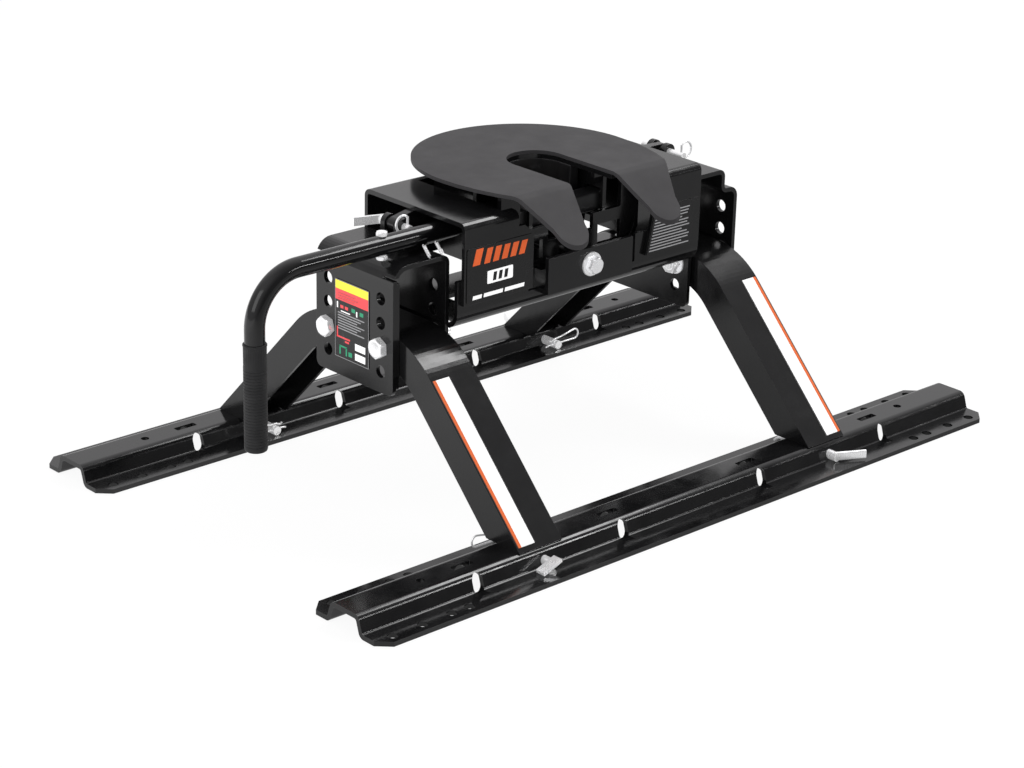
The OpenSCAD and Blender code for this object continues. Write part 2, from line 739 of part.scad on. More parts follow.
rail_rear();
rail_front();
leg_driver();
leg_passenger();
upright_driver();
upright_passenger();
crossmember();
lower_beam();
leg_spacers();
upright_bolts_driver();
upright_bolts_passenger();
upright_nuts_driver();
upright_nuts_passenger();
reflector_driver();
reflector_passenger();
name_plate();
info_plate();
setup_plate();
retaining_pin_driver();
retaining_ring_driver();
retaining_pin_passenger();
retaining_ring_passenger();
return_springs();
roll_bolt();
roll_nut();
rocker();
pitch_pins();
pitch_bushings();
skid_plate();
head_frame();
throat_collar();
jaw_bar();
handle_tube();
handle_grip();
handle_bolt();
foot_pin_driver_rear();
foot_clip_driver_rear();
foot_pin_driver_front();
foot_clip_driver_front();
foot_pin_passenger_rear();
foot_clip_passenger_rear();
foot_pin_passenger_front();
foot_clip_passenger_front();
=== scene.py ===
import json
import math

import bpy
import bmesh
from mathutils import Matrix, Vector


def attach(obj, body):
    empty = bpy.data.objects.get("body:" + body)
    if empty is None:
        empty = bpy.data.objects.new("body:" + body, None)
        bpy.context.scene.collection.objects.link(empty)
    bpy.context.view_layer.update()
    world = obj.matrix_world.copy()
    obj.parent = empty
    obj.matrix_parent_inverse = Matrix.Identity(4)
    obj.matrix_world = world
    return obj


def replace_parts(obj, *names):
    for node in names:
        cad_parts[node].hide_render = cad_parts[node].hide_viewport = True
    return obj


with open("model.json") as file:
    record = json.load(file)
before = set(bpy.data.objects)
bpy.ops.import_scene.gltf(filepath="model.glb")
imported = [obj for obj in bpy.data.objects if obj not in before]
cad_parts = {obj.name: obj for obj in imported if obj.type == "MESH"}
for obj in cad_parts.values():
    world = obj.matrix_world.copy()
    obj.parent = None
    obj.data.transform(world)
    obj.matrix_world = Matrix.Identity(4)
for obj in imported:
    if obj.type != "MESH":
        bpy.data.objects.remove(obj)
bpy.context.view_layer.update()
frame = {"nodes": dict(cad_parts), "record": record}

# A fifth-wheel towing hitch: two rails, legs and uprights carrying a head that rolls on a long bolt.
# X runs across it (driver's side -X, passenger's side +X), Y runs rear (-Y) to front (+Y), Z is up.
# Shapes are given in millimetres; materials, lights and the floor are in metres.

MM = 0.001
NODES = frame["nodes"]
scene = bpy.context.scene

# ---- driving dimensions, mm --------------------------------------------------
LEG_X = 260.0            # leg centres, either side of x = 0
RAIL_Y = 279.4           # rail centres, either side of y = 0
CLIP_INSET = 53          # from the rail centre in to the hairpin clip
CLIP_Z = 13
UPRIGHT_BOLT_Y = 51.7
UPRIGHT_BOLT_Z = 224.2
UPRIGHT_OUTER_X = 306    # where the bolt heads sit
UPRIGHT_INNER_X = 215    # where the washers sit
ROLL_Z = 283.0           # axis of the long bolt
ROLL_REAR_Y = -107       # seat of the long bolt's flange
ROLL_FRONT_Y = 97.4      # seat of its washer
HANDLE_Y = -40           # plane of the handle

# ---- camera and room ---------------------------------------------------------
CAMERA_AZIMUTH, CAMERA_ELEVATION, CAMERA_ROLL = (math.radians(a) for a in (-43.19, 21.83, 1.5))
CAMERA_TARGET = (-4.6, 0, 62.4)     # mm
CAMERA_DISTANCE = 3616.0            # mm
SENSOR_WIDTH = 36.0
LENS = 94.53515625
CAMERA_SHIFT = (-0.01572265625, 0.0150390625)
CAMERA_CLIP = (0.05, 60)

FLOOR_HALF = 14.0
FLOOR_Z = -0.0005
FLOOR_SEEN = 0.93                   # glow of the floor to the camera
FLOOR_DARK, FLOOR_BRIGHT = 0.14, 1.0    # its glow in reflections
ROOM_DIM = 0.16                     # lowest level of the room in reflections
ROOM_FRONT, ROOM_LEFT, ROOM_TOP = 0.82, 0.45, 0.26
LIGHT_TARGET = (0, 0, 0.2)


# ---- shader node helpers -----------------------------------------------------
class Nodes:
    """Adds nodes to a tree; inputs may be numbers, tuples or other nodes' output sockets."""

    def __init__(self, tree):
        self.tree = tree
        self.coords = self.new("ShaderNodeTexCoord").outputs

    def feed(self, socket, value):
        if isinstance(value, bpy.types.NodeSocket):
            self.tree.links.new(value, socket)
        elif socket.type == "RGBA":
            socket.default_value = (*value, 1)
        else:
            socket.default_value = value

    def new(self, kind, inputs=None, **settings):
        node = self.tree.nodes.new(kind)
        for setting, value in settings.items():
            setattr(node, setting, value)
        for key, value in (inputs or {}).items():
            self.feed(node.inputs[key], value)
        return node

    def noise(self, scale, detail, rough=0.6, stretch=None):
        place = self.coords["Object"]
        if stretch:
            mapping = self.new("ShaderNodeMapping", {"Vector": place, "Scale": stretch})
            place = mapping.outputs["Vector"]
        inputs = {"Scale": scale, "Detail": detail, "Roughness": rough, "Vector": place}
        return self.new("ShaderNodeTexNoise", inputs).outputs["Fac"]

    def voronoi(self, scale, inputs=None, **settings):
        inputs = {"Scale": scale, "Vector": self.coords["Object"], **(inputs or {})}
        return self.new("ShaderNodeTexVoronoi", inputs, **settings).outputs["Distance"]

    def remap(self, value, span, to, **settings):
        inputs = dict(enumerate((value, *span, *to)))
        return self.new("ShaderNodeMapRange", inputs, **settings).outputs[0]

    def mottle(self, span=(0.3, 0.7), to=(0.0, 1.0), **noise):
        """Noise with the levels in span stretched to the range in to."""
        return self.remap(self.noise(**noise), span, to)

    def calc(self, operation, *values):
        inputs = dict(enumerate(values))
        return self.new("ShaderNodeMath", inputs, operation=operation).outputs[0]

    def dot(self, a, b):
        inputs = {0: a, 1: b}
        return self.new("ShaderNodeVectorMath", inputs, operation="DOT_PRODUCT").outputs["Value"]

    def split(self, vector):
        return self.new("ShaderNodeSeparateXYZ", {0: vector}).outputs

    def ramp(self, value, stops, interpolation="LINEAR"):
        """A colour ramp; stops are (position, colour)."""
        node = self.new("ShaderNodeValToRGB", {"Fac": value})
        node.color_ramp.interpolation = interpolation
        elements = node.color_ramp.elements
        while len(elements) < len(stops):
            elements.new(0.5)
        for element, (position, color) in zip(elements, stops):
            element.position = position
            element.color = (*color, 1)
        return node.outputs["Color"]

    def mix(self, factor, a, b, blend="MIX"):
        inputs = {0: factor, 6: a, 7: b}
        return self.new("ShaderNodeMix", inputs, data_type="RGBA", blend_type=blend).outputs[2]

    def bump(self, height, strength, distance, under=None):
        inputs = {"Strength": strength, "Distance": distance, "Height": height}
        if under is not None:
            inputs["Normal"] = under
        return self.new("ShaderNodeBump", inputs).outputs["Normal"]

    def geometry_normal(self):
        return self.new("ShaderNodeNewGeometry").outputs["Normal"]

    def edge(self, radius):
        """1 on sharp edges, 0 on flat faces."""
        eased = self.new("ShaderNodeBevel", {"Radius": radius}, samples=4).outputs["Normal"]
        bend = self.calc("SUBTRACT", 1.0, self.dot(eased, self.geometry_normal()))
        return self.remap(bend, span=(0.02, 0.25), to=(0.0, 1.0))

    def shader(self, kind, **inputs):
        return self.new(kind, inputs).outputs[0]

    def add_shaders(self, a, b):
        return self.new("ShaderNodeAddShader", {0: a, 1: b}).outputs[0]

    def by_ray(self, camera, other):
        """One shader for camera rays, another for all other rays."""
        is_camera = self.new("ShaderNodeLightPath").outputs["Is Camera Ray"]
        return self.new("ShaderNodeMixShader", {0: is_camera, 1: other, 2: camera}).outputs[0]


class Material(Nodes):
    SOCKETS = {
        "color": "Base Color", "rough": "Roughness", "metal": "Metallic", "normal": "Normal",
        "spec": "Specular IOR Level", "emit": "Emission Color",
        "emit_strength": "Emission Strength", "sheen": "Sheen Weight",
    }

    def __init__(self, name):
        self.data = bpy.data.materials.new(name)
        self.data.use_nodes = True
        super().__init__(self.data.node_tree)
        self.principled = self.tree.nodes["Principled BSDF"]

    def set(self, **values):
        for key, value in values.items():
            self.feed(self.principled.inputs[self.SOCKETS[key]], value)
        return self.data


# ---- materials ---------------------------------------------------------------
def powder(name, dark, light, rough, peel, dust, wear=0.35, spec=0.5):
    """Powder coat: orange-peel skin, cloudy gloss, thin edges, dust on upward faces."""
    m = Material(name)
    skin = m.noise(scale=750, detail=2, rough=0.5)
    grit = m.noise(scale=2600, detail=2)
    color = m.ramp(m.noise(scale=14, detail=4), [(0.3, dark), (0.72, light)])
    upward = m.remap(m.split(m.geometry_normal())["Z"], span=(0.55, 1.0), to=(0.0, dust))
    patches = m.mottle(scale=38, detail=5, rough=0.7, span=(0.35, 0.75), to=(0.2, 1.0))
    film = m.calc("MULTIPLY", upward, patches)
    color = m.mix(film, color, tuple(c + 0.05 for c in light))
    rubbed = m.mottle(scale=90, detail=4, rough=0.7, span=(0.42, 0.62), to=(0.0, wear))
    color = m.mix(m.calc("MULTIPLY", m.edge(radius=0.0011), rubbed), color, (0.16, 0.16, 0.165))
    specks = m.mottle(scale=420, detail=3, span=(0.70, 0.74), to=(0.0, 0.12))
    color = m.mix(specks, color, (0.12, 0.12, 0.12))
    gloss = m.mottle(scale=26, detail=3, to=(rough - 0.05, rough + 0.06))
    gloss = m.calc("ADD", gloss, m.calc("MULTIPLY", film, 0.25))
    gloss = m.calc("ADD", gloss, m.remap(grit, span=(0.3, 0.7), to=(-0.02, 0.02)))
    normal = m.bump(skin, strength=peel, distance=0.0004)
    normal = m.bump(grit, strength=peel * 0.35, distance=0.0002, under=normal)
    return m.set(color=color, rough=gloss, normal=normal, spec=spec)


def zinc_plate(name):
    """Bright zinc plate: faint spangle, fine brushing, patches of grime; its own colour also glows a
    little, a painted glow.
    """
    m = Material(name)
    spangle = m.remap(m.voronoi(scale=260), span=(0.0, 0.8), to=(0.97, 1.0))
    brush = m.noise(scale=500, detail=2, rough=0.5, stretch=(1, 1, 0.06))
    grime = m.mottle(scale=45, detail=5, rough=0.65, span=(0.45, 0.8), to=(0.0, 0.10))
    color = m.mix(grime, (0.95, 0.95, 0.955), (0.46, 0.45, 0.43))
    blue = m.mottle(scale=30, detail=2, rough=0.5, span=(0.4, 0.7), to=(0.0, 0.22))
    tint = m.mix(blue, (1.0, 1.0, 1.0), (0.93, 0.95, 1.0))
    color = m.mix(1.0, color, tint, "MULTIPLY")
    color = m.new("ShaderNodeHueSaturation", {"Color": color, "Value": spangle}).outputs["Color"]
    gloss = m.calc("ADD", m.mottle(scale=70, detail=4, to=(0.19, 0.34)),
                   m.remap(brush, span=(0.3, 0.7), to=(-0.03, 0.03)))
    # painted glow: the zinc emits its own colour at strength 0.24, so it stays bright whatever the
    # lamps give
    return m.set(color=color, rough=gloss, metal=0.72, emit=color, emit_strength=0.24,
                 normal=m.bump(brush, strength=0.03, distance=0.0002))


def oxide_steel(name):
    """Black-oxide steel with rub marks along X and a smear of grease."""
    m = Material(name)
    rub = m.noise(scale=110, detail=4, stretch=(0.08, 1, 1))
    color = m.ramp(m.noise(scale=24, detail=4),
                   [(0.3, (0.012, 0.012, 0.013)), (0.7, (0.03, 0.03, 0.032))])
    color = m.mix(m.remap(rub, span=(0.58, 0.72), to=(0.0, 0.45)), color, (0.10, 0.10, 0.105))
    grease = m.mottle(scale=9, detail=3, span=(0.5, 0.7), to=(0.0, 0.5))
    color = m.mix(grease, color, (0.022, 0.017, 0.012))
    worn_edge = m.calc("MULTIPLY", m.edge(radius=0.001), 0.35)
    color = m.mix(worn_edge, color, (0.22, 0.22, 0.23))
    return m.set(color=color, metal=0.35,
                 rough=m.mottle(scale=18, detail=3, rough=0.5, to=(0.26, 0.55)),
                 normal=m.bump(rub, strength=0.12, distance=0.0003))


def rubber(name):
    """Matt black rubber with pores and dusty patches."""
    m = Material(name)
    color = m.ramp(m.noise(scale=40, detail=4),
                   [(0.3, (0.013, 0.013, 0.014)), (0.75, (0.020, 0.020, 0.021))])
    dusty = m.mottle(scale=130, detail=4, rough=0.7, span=(0.55, 0.8), to=(0.0, 0.3))
    color = m.mix(dusty, color, (0.032, 0.031, 0.030))
    pores = m.noise(scale=1500, detail=3)
    return m.set(color=color, spec=0.4, sheen=0.06,
                 rough=m.mottle(scale=60, detail=3, rough=0.5, to=(0.55, 0.75)),
                 normal=m.bump(pores, strength=0.16, distance=0.0003))


def bushing_plastic(name):
    """Dark, slightly uneven plain surface."""
    m = Material(name)
    color = m.ramp(m.noise(scale=30, detail=3),
                   [(0.3, (0.02, 0.02, 0.021)), (0.75, (0.045, 0.045, 0.046))])
    grain = m.noise(scale=900, detail=2, rough=0.5)
    return m.set(color=color, rough=m.mottle(scale=50, detail=3, rough=0.5, to=(0.45, 0.62)),
                 normal=m.bump(grain, strength=0.1, distance=0.0002))


def tape(name):
    """White reflective tape with an orange line near its outboard edge and a cell pattern; it also
    emits its own colour, a painted glow in place of the tape's retroreflection.
    """
    m = Material(name)
    outboard = m.calc("ABSOLUTE", m.split(m.coords["Object"])["X"])
    across = m.remap(outboard, span=(0.264, 0.294), to=(0.0, 1.0))
    color = m.ramp(across, [
        (0.0, (0.03, 0.03, 0.03)), (0.075, (0.95, 0.95, 0.95)),
        (0.79, (0.72, 0.135, 0.03)), (0.95, (0.02, 0.02, 0.02))], "CONSTANT")
    cells = m.voronoi(scale=330, inputs={"Randomness": 0.0}, feature="DISTANCE_TO_EDGE")
    cell_lines = m.remap(cells, span=(0.0, 0.06), to=(0.93, 1.0))
    color = m.mix(1.0, color, cell_lines, "MULTIPLY")
    dirt = m.mottle(scale=60, detail=4, rough=0.7, span=(0.6, 0.85), to=(0.0, 0.10))
    color = m.mix(dirt, color, (0.5, 0.48, 0.45))
    # painted glow: the tape emits its own colour at strength 0.40 in place of real retroreflection
    return m.set(color=color, rough=0.28, spec=0.5, emit=color, emit_strength=0.40,
                 normal=m.bump(cells, strength=0.05, distance=0.0002))


def printed(name, color, rough=0.34, painted_glow=0.0):
    """A printed colour on label film: slight mottling, fine scuffs, and an optional painted glow
    from the ink emitting its own colour.
    """
    m = Material(name)
    clouds = m.mottle(scale=55, detail=4, span=(0.35, 0.7), to=(0.0, 0.6))
    ink = m.mix(clouds, color, tuple(c * 0.86 for c in color))
    scuffs = m.mottle(scale=260, detail=3, stretch=(1, 1, 0.15), span=(0.66, 0.72), to=(0.0, 0.14))
    ink = m.mix(scuffs, ink, (0.35, 0.35, 0.35))
    # painted glow: the ink emits its own colour at the given strength
    if painted_glow:
        m.set(emit=ink, emit_strength=painted_glow)
    grain = m.noise(scale=700, detail=2, rough=0.5)
    return m.set(color=ink, spec=0.5,
                 rough=m.mottle(scale=80, detail=3, to=(rough - 0.04, rough + 0.06)),
                 normal=m.bump(grain, strength=0.05, distance=0.0002))


BLACK = {"dark": (0.006, 0.006, 0.0065), "light": (0.010, 0.010, 0.0105)}
MATS = {
    "rail_black": powder("rail_black", **BLACK, rough=0.14, peel=0.02, dust=0.02),
    "frame_black": powder("frame_black", **BLACK, rough=0.16, peel=0.03, dust=0.02),
    "skid_satin": powder("skid_satin", dark=(0.050, 0.048, 0.051), light=(0.060, 0.058, 0.061),
                         rough=0.60, peel=0.16, dust=0.10, wear=0.2, spec=0.30),
    "wear_steel": oxide_steel("wear_steel"),
    "zinc": zinc_plate("zinc"),
    "grip_rubber": rubber("grip_rubber"),
    "bushing": bushing_plastic("bushing"),
    "reflective_tape": tape("reflective_tape"),
    "plate_black": printed("plate_black", (0.008, 0.008, 0.0085), rough=0.24),
}
# each ink: name, colour and the strength of its painted glow
INKS = {name: printed("ink_" + name, color, painted_glow=painted_glow) for name, color, painted_glow in (
    ("orange", (0.74, 0.115, 0.022), 0.48),
    ("white", (0.90, 0.90, 0.90), 0.70),
    ("grey", (0.34, 0.34, 0.35), 0.35),
    ("yellow", (0.88, 0.80, 0.05), 0.60),
    ("red", (0.82, 0.07, 0.08), 0.55),
    ("green", (0.02, 0.32, 0.16), 0.45),
)}
TUBE_GLOSS = powder("tube_gloss_black", dark=(0.005, 0.005, 0.0055), light=(0.008, 0.008, 0.0085),
                    rough=0.10, peel=0.03, dust=0.03, wear=0.2)


def put_material(obj, material):
    if not obj.material_slots:
        obj.data.materials.append(material)
    for slot in obj.material_slots:
        slot.material = material


SLOT_OF = {part["node"]: part["material_slot"] for part in frame["record"]["subparts"]}
for name, node in NODES.items():
    put_material(node, MATS[SLOT_OF[name]])
# the handle tube is glossier than the rest of its slot
put_material(NODES["handle_tube"], TUBE_GLOSS)


# ---- camera ------------------------------------------------------------------
def add_camera():
    level = math.cos(CAMERA_ELEVATION)
    back = Vector((math.sin(CAMERA_AZIMUTH) * level, -math.cos(CAMERA_AZIMUTH) * level,
                   math.sin(CAMERA_ELEVATION)))
    place = (Vector(CAMERA_TARGET) + back * CAMERA_DISTANCE) * MM
    flat_right = (-back).cross(Vector((0, 0, 1))).normalized()
    flat_up = flat_right.cross(-back)
    cos_roll, sin_roll = math.cos(CAMERA_ROLL), math.sin(CAMERA_ROLL)
    right = flat_right * cos_roll + flat_up * sin_roll
    up = -flat_right * sin_roll + flat_up * cos_roll

    camera = bpy.data.cameras.new("camera")
    camera.sensor_width = SENSOR_WIDTH
    camera.lens = LENS
    camera.shift_x, camera.shift_y = CAMERA_SHIFT
    camera.clip_start, camera.clip_end = CAMERA_CLIP
    obj = bpy.data.objects.new("camera", camera)
    scene.collection.objects.link(obj)
    rows = [(right[i], up[i], back[i], place[i]) for i in range(3)]
    obj.matrix_world = Matrix((*rows, (0, 0, 0, 1)))
    scene.camera = obj


# ---- studio ------------------------------------------------------------------
def floor_material():
    """Pale and almost even to the camera; in reflections, brighter toward -X and +Y."""
    m = Material("pale_floor")
    m.tree.nodes.remove(m.principled)
    seen = m.add_shaders(m.shader("ShaderNodeBsdfDiffuse", Color=(0.10, 0.10, 0.10)),
                         m.shader("ShaderNodeEmission", Color=(1, 1, 1), Strength=FLOOR_SEEN))
    place = m.split(m.coords["Object"])
    side = m.calc("SUBTRACT", place["Y"], place["X"])
    level = m.remap(side, span=(-1.2, 2.2), to=(FLOOR_DARK, FLOOR_BRIGHT))
    bounced = m.add_shaders(m.shader("ShaderNodeEmission", Strength=level),
                            m.shader("ShaderNodeBsdfDiffuse", Color=(0.25, 0.25, 0.25)))
    output = m.tree.nodes["Material Output"]
    m.feed(output.inputs["Surface"], m.by_ray(camera=seen, other=bounced))
    return m.data


def add_floor():
    mesh = bpy.data.meshes.new("floor")
    corners = [(x * FLOOR_HALF, y * FLOOR_HALF, FLOOR_Z)
               for x, y in ((-1, -1), (1, -1), (1, 1), (-1, 1))]
    mesh.from_pydata(corners, [], [(0, 1, 2, 3)])
    obj = bpy.data.objects.new("floor", mesh)
    scene.collection.objects.link(obj)
    mesh.materials.append(floor_material())


def add_world():
    """White to the camera; the surfaces reflect a softly graded room."""
    world = bpy.data.worlds.new("studio")
    scene.world = world
    world.use_nodes = True
    world.node_tree.nodes.clear()
    w = Nodes(world.node_tree)

    def lobe(direction, span, to):
        """Level that rises toward a direction; span is the cosine range of the rise."""
        toward = w.dot(w.coords["Generated"], Vector(direction).normalized())
        return w.remap(toward, span, to, interpolation_type="SMOOTHSTEP")

    level = lobe((0.62, 0.66, 0.42), span=(0.2, 1.0), to=(ROOM_DIM, ROOM_FRONT))
    level = w.calc("ADD", level, lobe((-0.9, 0.1, 0.35), span=(0.1, 1.0), to=(0.0, ROOM_LEFT)))
    level = w.calc("ADD", level, lobe((0.0, 0.0, 1.0), span=(0.35, 1.0), to=(0.0, ROOM_TOP)))
    room = w.shader("ShaderNodeBackground", Color=(1.0, 0.99, 1.0), Strength=level)
    white = w.shader("ShaderNodeBackground", Color=(1, 1, 1))
    w.new("ShaderNodeOutputWorld", {"Surface": w.by_ray(camera=white, other=room)})


def area(name, direction, distance, size, power):
    """A rectangular light facing LIGHT_TARGET, hidden from the camera."""
    toward = Vector(direction).normalized()
    light = bpy.data.lights.new(name, "AREA")
    light.shape = "RECTANGLE"
    light.size, light.size_y = size
    light.energy = power
    obj = bpy.data.objects.new(name, light)
    scene.collection.objects.link(obj)
    obj.location = Vector(LIGHT_TARGET) + toward * distance
    obj.rotation_mode = "QUATERNION"
    obj.rotation_quaternion = toward.to_track_quat("Z", "Y")
    obj.visible_camera = False


add_camera()
add_floor()
add_world()
scene.view_settings.view_transform = "Standard"
area("softbox_right", direction=(0.58, -0.08, 0.80), distance=3.4, size=(1.5, 0.7), power=28)
area("strip_rear", direction=(0.60, -0.70, 0.34), distance=3.4, size=(2.6, 0.11), power=22)
area("softbox_left", direction=(-0.85, -0.10, 0.45), distance=3.0, size=(1.6, 1.6), power=12)


# ---- mesh helpers, mm --------------------------------------------------------
def axes_around(axis):
    along = Vector(axis).normalized()
    helper = Vector((0, 0, 1)) if abs(along.z) < 0.9 else Vector((1, 0, 0))
    x = helper.cross(along).normalized()
    return x, along.cross(x).normalized(), along


def circle(center, x, y, radius, angle):
    return center + (x * math.cos(angle) + y * math.sin(angle)) * radius


class Shape:
    """Collects closed solids into one mesh."""

    def __init__(self):
        self.verts, self.faces = [], []

    def rings(self, rings, loop=False):
        """Joins rings of points; the ends are capped unless they loop round."""
        count, sides = len(rings), len(rings[0])
        base = len(self.verts)
        for ring in rings:
            self.verts += [tuple(p) for p in ring]
        for i in range(count if loop else count - 1):
            a, b = base + i * sides, base + ((i + 1) % count) * sides
            for j in range(sides):
                k = (j + 1) % sides
                self.faces.append((a + j, a + k, b + k, b + j))
        if not loop:
            last = base + (count - 1) * sides
            self.faces.append(tuple(base + j for j in range(sides))[::-1])
            self.faces.append(tuple(last + j for j in range(sides)))

    def lathe(self, origin, axis, profile, sides, radius_at=None, start=0.0, loop=False):
        """profile is [(height along axis, radius)]; radius_at may change the radius."""
        x, y, along = axes_around(axis)
        rings = []
        for height, radius in profile:
            center = Vector(origin) + along * height
            ring = []
            for j in range(sides):
                angle = start + 2 * math.pi * j / sides
                r = radius_at(angle, radius, height) if radius_at else radius
                ring.append(circle(center, x, y, r, angle))
            rings.append(ring)
        self.rings(rings, loop)

    def sweep(self, path, radius, sides):
        """A round wire along a path."""
        path = [Vector(p) for p in path]
        last = len(path) - 1
        tangents = [(path[min(i + 1, last)] - path[max(i - 1, 0)]).normalized()
                    for i in range(last + 1)]
        x = axes_around(tangents[0])[0]
        rings = []
        for point, tangent in zip(path, tangents):
            x = (x - tangent * x.dot(tangent)).normalized()
            y = tangent.cross(x)
            rings.append([circle(point, x, y, radius, 2 * math.pi * j / sides)
                          for j in range(sides)])
        self.rings(rings)

    def prism(self, outline, origin, across, out, depth):
        """outline is [(along across, along Z)], drawn out by depth."""
        near = [Vector(origin) + Vector(across) * a + Vector((0, 0, 1)) * b for a, b in outline]
        self.rings([near, [p + Vector(out) * depth for p in near]])


def make(name, shape, material, body, smooth=True, angle=35):
    """Turns a shape into an object; edges bent by more than angle degrees are sharp."""
    mesh = bpy.data.meshes.new(name)
    mesh.from_pydata([Vector(v) * MM for v in shape.verts], [], shape.faces)
    bm = bmesh.new()
    bm.from_mesh(mesh)
    bmesh.ops.remove_doubles(bm, verts=bm.verts, dist=1e-6)
    bmesh.ops.recalc_face_normals(bm, faces=bm.faces)
    for edge in bm.edges:
        if len(edge.link_faces) == 2 and edge.calc_face_angle(0) > math.radians(angle):
            edge.smooth = False
    for face in bm.faces:
        face.smooth = smooth
    bm.to_mesh(mesh)
    bm.free()
    obj = bpy.data.objects.new(name, mesh)
    scene.collection.objects.link(obj)
    mesh.materials.append(material)
    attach(obj, body)
    return obj


def replace(replaced, name, shape, slot="zinc", body="base", angle=35):
    """Puts a detailed shape in place of a CAD node."""
    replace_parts(make(name, shape, MATS[slot], body, angle=angle), replaced)


def smooth_path(points, steps):
    """Catmull-Rom curve through the points."""
    points = [Vector(p) for p in points]
    last = len(points) - 1
    path = []
    for i in range(last):
        p0, p1, p2, p3 = (points[min(max(i + k, 0), last)] for k in (-1, 0, 1, 2))
        for k in range(steps):
            t = k / steps
            path.append(0.5 * ((2 * p1) + (p2 - p0) * t + (2 * p0 - 5 * p1 + 4 * p2 - p3) * t * t
                               + (3 * p1 - p0 - 3 * p2 + p3) * t ** 3))
    return path + [points[-1]]


# ---- bolts, nuts and washers -------------------------------------------------
def lathe_hex(shape, origin, axis, flats, profile, turn, loop=False):
    """A lathed profile cut to a hexagon of the given width across flats."""
    turn = math.radians(turn)
    sector = math.pi / 3

    def hexagon(angle, radius, height):
        off_middle = ((angle - turn) % sector) - sector / 2
        return min(radius, flats / 2 / math.cos(off_middle))

    shape.lathe(origin, axis, profile, sides=72, radius_at=hexagon, start=turn, loop=loop)


def hex_head(shape, origin, axis, flats, height, turn, face=0.6):
    """Bolt head: washer face, chamfered corners, a shallow dish on top."""
    flat = flats / 2
    corner = flat / math.cos(math.pi / 6)
    profile = [
        (0.0, flat * 0.95), (face, flat * 0.95), (face, corner), (height - 1.25, corner),
        (height - 0.62, flat + 0.7), (height - 0.12, flat - 0.1), (height, flat - 0.5),
        (height, flat * 0.70), (height - 0.25, flat * 0.62), (height - 0.25, 0.4)]
    lathe_hex(shape, origin, axis, flats, profile, turn)


def hex_nut(shape, origin, axis, flats, height, bore, turn):
    flat = flats / 2
    corner = flat / math.cos(math.pi / 6)
    profile = [
        (0.0, bore + 0.6), (0.0, flat - 0.3), (0.9, corner), (height - 1.2, corner),
        (height - 0.1, flat - 0.1), (height, flat - 0.6), (height, bore + 1.0),
        (height - 0.9, bore), (0.6, bore)]
    lathe_hex(shape, origin, axis, flats, profile, turn, loop=True)


def washer(shape, origin, axis, radius, height, bore):
    profile = [(0, bore), (0, radius - 0.3), (0.3, radius), (height - 0.4, radius),
               (height, radius - 0.5), (height, bore)]
    shape.lathe(origin, axis, profile, sides=56, loop=True)


def shank(shape, origin, axis, radius, plain, length, pitch=1.8):
    """Plain shank, then a rolled thread with a pointed run-out."""
    root, crest = radius - 0.75, radius - 0.02
    run_out = length - 1.2
    profile = [(0.0, radius), (plain, radius), (plain + 0.8, root)]
    z = plain + 1.0
    while z + pitch < run_out:
        profile += [(z + pitch * 0.2, root), (z + pitch * 0.62, crest), (z + pitch * 0.78, crest)]
        z += pitch
    profile += [(run_out, radius - 0.6), (length, radius - 1.7), (length, 0.4)]
    shape.lathe(origin, axis, profile, sides=36)


def upright_bolts(side, sign):
    """Two bolts through an upright, heads outboard, washers and nuts inboard."""
    flats, washer_height = 24, 2.8
    bolts, nuts = Shape(), Shape()
    outward, inward = (sign, 0, 0), (-sign, 0, 0)
    for y, turn in ((-UPRIGHT_BOLT_Y, 3), (UPRIGHT_BOLT_Y, 16)):
        head, seat, nut = ((sign * x, y, UPRIGHT_BOLT_Z) for x in (
            UPRIGHT_OUTER_X, UPRIGHT_INNER_X, UPRIGHT_INNER_X - washer_height))
        hex_head(bolts, head, outward, flats, height=10, turn=turn + 30)
        shank(bolts, head, inward, radius=7.9, plain=82, length=107)
        washer(nuts, seat, inward, radius=15.5, height=washer_height, bore=8.0)
        hex_nut(nuts, nut, inward, flats, height=11.2, bore=7.4, turn=turn)
    replace("upright_bolts_" + side, "bolts_" + side, bolts)
    replace("upright_nuts_" + side, "nuts_" + side, nuts)


def long_bolt():
    """The bolt the head rolls on: thin flange and hex head at the rear, nut at the front."""
    rear, front = (0, -1, 0), (0, 1, 0)
    flange_height, washer_height = 3.5, 3
    seat = (0, ROLL_REAR_Y, ROLL_Z)
    bolt = Shape()
    flange = [(0, 9), (0, 15.6), (0.4, 16), (2.3, 16), (3.0, 15.7), (3.4, 14.6),
              (flange_height, 9.0), (flange_height, 0.3)]
    bolt.lathe(seat, rear, flange, sides=64)
    hex_head(bolt, (0, ROLL_REAR_Y - flange_height, ROLL_Z), rear, flats=20, height=9,
             turn=10, face=0.5)
    shank(bolt, seat, front, radius=9.5, plain=196, length=219, pitch=2.0)
    replace("roll_bolt", "long_bolt", bolt, angle=28)

    nut = Shape()
    washer(nut, (0, ROLL_FRONT_Y, ROLL_Z), front, radius=18, height=washer_height, bore=9.6)
    hex_nut(nut, (0, ROLL_FRONT_Y + washer_height, ROLL_Z), front, flats=28, height=10.8,
            bore=8.9, turn=8)
    replace("roll_nut", "long_bolt_nut", nut)


def handle_bolt():
    """The small upright bolt through the handle tube."""
    x, flats, height = -295, 13, 5.3
    down = (0, 0, -1)
    bolt = Shape()
    hex_head(bolt, (x, HANDLE_Y, 364.7), (0, 0, 1), flats, height, turn=10, face=0.4)
    shank(bolt, (x, HANDLE_Y, 365), down, radius=4, plain=24, length=30.9, pitch=1.1)
    hex_nut(bolt, (x, HANDLE_Y, 339.2), down, flats, height, bore=3.5, turn=20)
    replace("handle_bolt", "handle_bolt_detail", bolt, body="handle")


